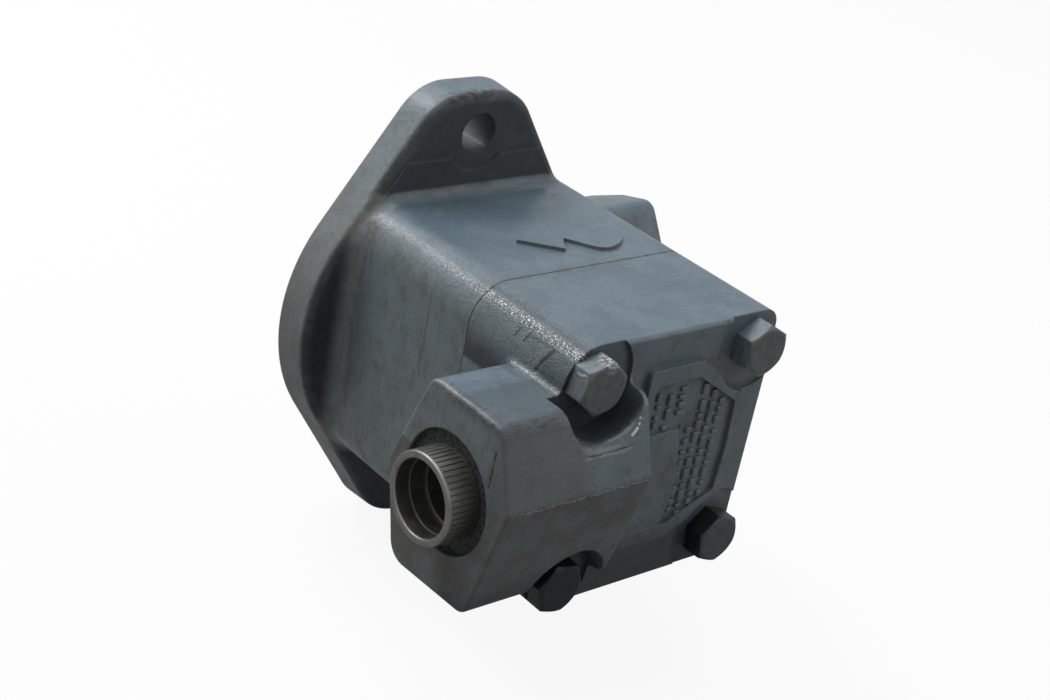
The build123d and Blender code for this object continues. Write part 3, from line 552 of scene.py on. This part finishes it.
def cover_marks(place):
    """What lies at each place on the outlet cover."""
    x, y, z = place.axes()
    wander = (place.noise(1.5 * mm, 3.0) - 0.5) * 0.9 * mm
    scores = scored_lines(place, wander)
    recess, pits = port_recess(place)
    boss_grime, bare, edge_dirt = boss_marks(place)
    face_grime_and_groove_shadow, face_shade = end_face_marks(place)
    grime = joint_dirt(place, y, z).larger(recess * (pits * 0.3 + 0.7))
    grime = grime.larger(boss_grime).larger(face_grime_and_groove_shadow).larger(scores)

    pocket_shade, lip = bolt_pocket_shade(place)
    # Painted shade: the dirty recess floor, the bolt pocket, the foot of the end face, the corner beyond
    # the cast step and the scored lines; the boss's edge dirt darkens it too.
    shade_beyond_step = y.rise(85.5 * mm, 88 * mm) * x.rise(32.4 * mm, 33.6 * mm) * z.rise(21 * mm, 24 * mm)
    painted_shade_and_dirt = (recess * (pits * 0.25 + 0.72)).larger(pocket_shade).larger(face_shade)
    painted_shade_and_dirt = painted_shade_and_dirt.larger(shade_beyond_step * (place.noise(1.2 * mm, 3.0) * 0.4 + 0.22))
    painted_shade_and_dirt = painted_shade_and_dirt.larger(scores * 0.8).larger(edge_dirt * 0.45)

    valley = place.mark(at(34, 74, 25.5), at(34, 96, 25.5), 6 * mm, 2 * mm)
    band = glitter_band(place)
    gloss = lip.larger(valley).larger(band * 0.9)
    beads = place.noise(0.9 * mm, 2.0) * valley * 3.0
    height = band * place.noise(0.55 * mm, 3.0, 0.7) * 6.5 + beads - scores * 2.0 + recess * pits * 1.5
    # Painted highlights: glints on the grain of the corner, and small glints on the pocket's lip and the
    # border.
    painted_glints = painted_grain_glints(place, band * 1.3)
    for start, end, width in lip_glints:
        glint_dot = place.mark(at(*start), at(*end), width * mm, width * 0.4 * mm, wander * 0.3)
        painted_glints = painted_glints.larger(glint_dot * 0.8)
    return grime, bare, painted_shade_and_dirt, height, gloss, painted_glints


cover_enamel = enamel("cover_enamel", cover_marks)
dress("outlet_cover", cover_enamel)

flash_height = 1.1 * mm
flash_thickness = 0.42 * mm
flash_sink = 0.25 * mm
flash_raggedness = 0.34 * mm
flash_start_x = 14.6 * mm
flash_end_x = port_face_x - 1.2 * mm
flash_cuts = 74
long_edge = 10 * mm


def flash_strip():
    """Thin broken ridge of iron along the crest of the boss."""
    bpy.ops.object.select_all(action="DESELECT")
    bpy.ops.mesh.primitive_cube_add(size=1)
    strip = bpy.context.object
    strip.name = "boss_parting_flash"
    strip.scale = (flash_end_x - flash_start_x, flash_height, flash_thickness)
    strip.location = ((flash_start_x + flash_end_x) / 2, boss_ridge_y - flash_sink, boss_ridge_z)
    bpy.ops.object.transform_apply(location=True, rotation=True, scale=True)
    bpy.ops.object.mode_set(mode="EDIT")
    shape = bmesh.from_edit_mesh(strip.data)
    for edge in shape.edges:
        edge.select_set(abs(edge.verts[0].co.x - edge.verts[1].co.x) > long_edge)
    bmesh.update_edit_mesh(strip.data)
    bpy.ops.mesh.subdivide(number_cuts=flash_cuts)
    bpy.ops.mesh.select_all(action="SELECT")
    bpy.ops.transform.vertex_random(offset=flash_raggedness, seed=5)
    bpy.ops.object.mode_set(mode="OBJECT")
    strip.data.materials.append(cover_enamel)
    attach(strip, "housing")


flash_strip()


# ---------------------------------------------------------------- raised marks on the end face
# The end face carries a cast border.  Inside it stand plain raised bars in columns, cast with the
# cover and painted over, so that the field has relief but says nothing.
field_y = end_face_y + 0.4 * mm
# The bars' own sizes are in millimetres; each column has its place across, top, bottom and width.
bar_depth = 1.5
bar_edge_round = 0.38
bar_lengths = (1.3, 1.8, 2.4, 3.2)
bar_gaps = (0.7, 0.9, 1.6)
bar_wander = 0.15
bar_columns = [
    (3.6, 20.0, 10.0, 1.5),
    (-0.4, 19.0, 10.0, 1.9),
    (-4.6, 20.5, 13.0, 2.4),
    (-9.4, 8.0, -18.5, 1.9),
    (-12.6, 20.0, -18.0, 2.0),
    (-16.0, 17.5, -16.5, 1.9),
    (-19.4, 14.5, -14.0, 1.8),
]


def joined(pieces, name, material):
    """Makes one named piece of several and gives it its finish."""
    bpy.ops.object.select_all(action="DESELECT")
    for piece in pieces:
        piece.select_set(True)
    bpy.context.view_layer.objects.active = pieces[0]
    bpy.ops.object.join()
    whole = bpy.context.object
    whole.name = name
    whole.data.materials.append(material)
    return whole


def raised_bars():
    """Rows of rounded bars of uneven length, joined into one piece."""
    draw = random.Random(7)
    pieces = []
    for column_x, top, bottom, width in bar_columns:
        z = top
        while z > bottom:
            length = draw.choice(bar_lengths)
            bpy.ops.object.select_all(action="DESELECT")
            bpy.ops.mesh.primitive_cube_add(size=1)
            bar = bpy.context.object
            bar.scale = at(width, bar_depth, length)
            shift = draw.uniform(-bar_wander, bar_wander)
            bar.location = ((column_x + shift) * mm, field_y, (z - length / 2) * mm)
            bpy.ops.object.transform_apply(location=True, rotation=True, scale=True)
            bpy.ops.object.mode_set(mode="EDIT")
            bpy.ops.mesh.select_all(action="SELECT")
            bpy.ops.mesh.bevel(offset=bar_edge_round * mm, segments=2, affect="EDGES")
            bpy.ops.object.mode_set(mode="OBJECT")
            pieces.append(bar)
            z -= length + draw.choice(bar_gaps)
    bars = joined(pieces, "end_face_raised_bars", cover_enamel)
    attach(bars, "housing")


raised_bars()


# ---------------------------------------------------------------- cover bolts
# Four hexagon-head steel screws hold the cover.  They were painted with the pump: the end faces are
# hazed with grime, rubbed brownish and scratched, and the upper outlet one is chipped; painted shade
# darkens the lower heads and a painted glint lies on the chip.
spot_face_depth = 1.1 * mm
bolt_head_height = 6.0 * mm


def bolt_marks(place):
    """What lies at each place on the cover bolts."""
    x, y, z = place.axes()
    top_y = end_face_y - spot_face_depth + bolt_head_height
    cap = y.rise(top_y - 0.5 * mm, top_y - 0.1 * mm)
    haze = cap * (place.noise(2.2 * mm, 4.0, 0.6).rise(0.30, 0.70) * 0.35 + 0.38)
    lines = place.noise(0.35 * mm, 2.0, 0.5, (1, 1, 9)).rise(0.58, 0.66)
    cross = place.noise(0.35 * mm, 2.0, 0.5, (7, 1, 2)).rise(0.60, 0.68)
    corner = ((26.2 * mm, top_y - 3 * mm, 34.8 * mm), (26.6 * mm, top_y, 34.2 * mm))
    chip = place.mark(*corner, 2.9 * mm, 1.4 * mm) * place.noise(0.9 * mm, 5.0, 0.75).rise(0.44, 0.52)
    flat = ((33.5 * mm, top_y - 4.2 * mm, 31.2 * mm), (33.3 * mm, top_y - 1.8 * mm, 31.6 * mm))
    wander = (place.noise(0.8 * mm, 3.0) - 0.5) * 1.3 * mm
    chip = chip.larger(place.mark(*flat, 0.50 * mm, 0.25 * mm, wander))
    bare = (cap * (lines * 0.35).larger(cross * 0.3)).larger(chip)
    height = chip * place.noise(0.7 * mm, 3.0) * 2.0 - cap * (lines + cross) * 0.12
    gloss = (1 - cap) * 0.35
    # Painted shade: the lower bolts are darkened, the outlet-side one almost to black.
    low = z.rise(-15 * mm, -20 * mm)
    painted_shade_and_dirt = low * (1 - cap) * 0.97 + low * cap * (x.rise(0, 20 * mm) * 0.40 + 0.56)
    # The chip also carries a painted glint.
    return haze, bare, painted_shade_and_dirt, height, gloss, chip * 0.35


dress("cover_bolts", enamel("bolt_enamel", bolt_marks, wear=0.7))


# ---------------------------------------------------------------- outlet port plug
# A light turned-metal shipping plug closes the outlet.  It is dull, scuffed and ribbed round the rim,
# and it lifts out along the port.
about_port = ((0, port_y, 0), (0, 1, 1))
dress("outlet_port_plug", cut_metal("plug_alloy", (0.25, 0.247, 0.238), 0.34, about_port, grime=0.75))


# ---------------------------------------------------------------- shaft, key and retaining rings
# The shaft is turned and ground steel with a square key in its nose; spring-steel rings hold the
# bearing on the shaft and in the body.
about_shaft = ((0, 0, 0), (1, 0, 1))
dress("drive_shaft", cut_metal("ground_steel", (0.50, 0.49, 0.475), 0.24, about_shaft, grime=0.3))
key_steel = cut_metal("key_steel", (0.42, 0.41, 0.39), 0.30, about_shaft, lay=0.5 * mm, grime=0.3)
dress("shaft_key", key_steel)
spring_steel = cut_metal("spring_steel", (0.13, 0.125, 0.12), 0.38, about_shaft, grime=0.3)
for name in ("shaft_retaining_ring", "bearing_retaining_ring"):
    dress(name, spring_steel)

lug_reach = 18.9 * mm
lug_turn = 19
lug_radius = 2.0 * mm
lug_wall = 1.1 * mm
lug_thickness = 1.75 * mm
ring_low, ring_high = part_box("bearing_retaining_ring")
ring_y = (ring_low.y + ring_high.y) / 2


def ring_lugs(name, body):
    """Two drilled ears at the ends of the bearing's retaining ring, for the pliers."""
    pieces = []
    for side in (1, -1):
        angle = math.radians(-90 + side * lug_turn)
        bpy.ops.object.select_all(action="DESELECT")
        spot = (lug_reach * math.cos(angle), ring_y, lug_reach * math.sin(angle))
        bpy.ops.mesh.primitive_cylinder_add(vertices=32, radius=lug_radius, depth=lug_thickness,
                                            location=spot, rotation=(math.radians(90), 0, 0))
        lug = bpy.context.object
        bpy.ops.object.transform_apply(location=True, rotation=True, scale=True)
        bpy.ops.object.mode_set(mode="EDIT")
        shape = bmesh.from_edit_mesh(lug.data)
        for face in shape.faces:
            face.select_set(abs(face.normal.y) > 0.9)
        bmesh.update_edit_mesh(lug.data)
        bpy.ops.mesh.inset(thickness=lug_wall, use_individual=True)
        bpy.ops.mesh.bridge_edge_loops()
        bpy.ops.object.mode_set(mode="OBJECT")
        pieces.append(lug)
    lugs = joined(pieces, name, spring_steel)
    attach(lugs, body)


ring_lugs("bearing_ring_lugs", "housing")


# ---------------------------------------------------------------- bearing, seal and bush
# A single-row ball bearing carries the shaft behind the flange, a lip seal keeps the oil in behind it,
# and a bronze bush carries the shaft next to the rotor.
bearing_steel = cut_metal("bearing_steel", (0.55, 0.545, 0.53), 0.16, about_shaft, grime=0.25)
for name in ("bearing_inner_race", "bearing_outer_race"):
    dress(name, bearing_steel)
ball_steel = cut_metal("ball_steel", (0.62, 0.615, 0.60), 0.08, about_shaft, lay=4 * mm, grime=0.1)
dress("bearing_balls", ball_steel)
dress("bearing_cage", cut_metal("cage_brass", (0.52, 0.37, 0.15), 0.30, about_shaft, grime=0.3))
dress("shaft_seal_case", cut_metal("seal_case_steel", (0.30, 0.30, 0.29), 0.35, about_shaft, grime=0.4))
dress("shaft_seal_spring", cut_metal("garter_steel", (0.40, 0.40, 0.39), 0.28, about_shaft, grime=0.3))
dress("shaft_bushing", cut_metal("bush_bronze", (0.42, 0.26, 0.12), 0.32, about_shaft, grime=0.3))


def soft_polymer(name, colour, roughness):
    """Moulded rubber or plastic: even, slightly bloomed, a little rough."""
    material, shader, place = new_material(name)
    bloom = place.noise(3 * mm, 4.0)
    feed(shader, base_color=bloom.mix(colour, [part * 1.8 + 0.004 for part in colour]))
    feed(shader, roughness=roughness + bloom * 0.15)
    return material


rubber = soft_polymer("seal_rubber", (0.012, 0.012, 0.013), 0.5)
for name in ("shaft_seal_lip", "cover_o_ring", "pressure_plate_o_ring"):
    dress(name, rubber)
dress("pressure_plate_backup_ring", soft_polymer("backup_plastic", (0.62, 0.60, 0.52), 0.4))


# ---------------------------------------------------------------- pumping set
# Hardened steel cam ring, rotor and twelve vanes run between the body and a flat iron pressure plate
# that a coil spring holds against them; two pins place the ring and the plate.
dress("cam_ring", cut_metal("ring_steel", (0.44, 0.435, 0.42), 0.26, about_shaft, grime=0.25))
dress("rotor", cut_metal("rotor_steel", (0.40, 0.395, 0.385), 0.28, about_shaft, grime=0.25))
dress("locating_pins", cut_metal("pin_steel", (0.50, 0.49, 0.48), 0.22, about_shaft, grime=0.2))
dress("pressure_plate", cut_metal("plate_iron", (0.30, 0.295, 0.28), 0.36, about_shaft, grime=0.35))
coil_steel = cut_metal("coil_steel", (0.36, 0.355, 0.34), 0.30, about_shaft, grime=0.25)
dress("pressure_plate_spring", coil_steel)
vane_steel = cut_metal("vane_steel", (0.50, 0.495, 0.48), 0.20, about_shaft, lay=0.6 * mm, grime=0.2)
vane_count = 12
for number in range(1, vane_count + 1):
    dress(f"vane_{number:02d}", vane_steel)


# ---------------------------------------------------------------- studio
# White paper sweep under soft light: a broad softbox overhead and behind, a smaller window behind the
# flange, and a pale room.  The paper is shown white and keeps a faint shadow.
floor_z = cad_low.z
floor_size = 6.0
paper_colour = (0.26, 0.26, 0.26, 1)
paper_glow = 1.2
# What is added where the paper and the room are seen straight, and where they show in a gloss.
paper_straight = 0.76
paper_in_gloss = 0.12
room_light = 0.20
room_straight = 0.80
room_in_gloss = 0.52
bpy.ops.object.select_all(action="DESELECT")
bpy.ops.mesh.primitive_plane_add(size=floor_size, location=(0, 0, floor_z))
floor = bpy.context.object
floor.name = "studio_floor"
paper, paper_shader, paper_place = new_material("studio_paper")
feed(paper_shader, base_color=paper_colour, roughness=0.9)
floor.data.materials.append(paper)
straight = paper_place.node("LightPath", {}, {}, 0)
glossy = paper_place.node("LightPath", {}, {}, 3)
shown = straight * paper_straight + glossy * paper_in_gloss
lit = Value(paper.node_tree, paper_shader.outputs[0])
glow = lit.node("Emission", {}, {"Strength": paper_glow})
mixed = lit.node("MixShader", {}, {0: shown, 1: lit, 2: glow})
paper_end = paper.node_tree.nodes["Material Output"].inputs["Surface"]
paper.node_tree.links.new(mixed.socket, paper_end)

world = bpy.data.worlds.new("studio_world")
bpy.context.scene.world = world
world.use_nodes = True
sky = world.node_tree.nodes["Background"]
straight = Value(world.node_tree).node("LightPath", {}, {}, 0)
glossy = straight.node("LightPath", {}, {}, 3)
strength = room_light + straight * room_straight + glossy * room_in_gloss
world.node_tree.links.new(strength.socket, sky.inputs["Strength"])
sky.inputs["Color"].default_value = (1, 1, 1, 1)


def lamp(name, direction, distance, size, power):
    """Square soft lamp that shines at the pump from a direction."""
    light = bpy.data.lights.new(name, "AREA")
    light.shape = "SQUARE"
    light.size = size
    light.energy = power
    holder = bpy.data.objects.new(name, light)
    bpy.context.collection.objects.link(holder)
    toward = Vector(direction).normalized()
    holder.location = (cad_low + cad_high) / 2 + toward * distance
    holder.rotation_euler = toward.to_track_quat("Z", "Y").to_euler()


lamp("softbox", (0.22, -0.42, 0.88), distance=1.0, size=1.5, power=12.0)
lamp("back_window", (0.196, -0.644, 0.740), distance=0.9, size=0.24, power=2.2)
lamp("end_fill", (-0.60, 0.62, 0.50), distance=1.0, size=0.8, power=1.9)

# The camera looks down over the end face and the outlet side.
lens_length = 63.74
camera_place = (0.30910, 0.36185, 0.22044)
camera_right = (-0.762, 0.623, 0.176)
camera_forward = (-0.628, -0.644, -0.438)
camera_data = bpy.data.cameras.new("camera")
camera_data.lens = lens_length
camera_data.sensor_width = 36.0
camera = bpy.data.objects.new("camera", camera_data)
bpy.context.collection.objects.link(camera)
right = Vector(camera_right).normalized()
forward = Vector(camera_forward).normalized()
up = right.cross(forward)
aim = Matrix((right, up, -forward)).transposed().to_4x4()
camera.matrix_world = Matrix.Translation(camera_place) @ aim
bpy.context.scene.camera = camera
bpy.context.scene.view_settings.view_transform = "Standard"
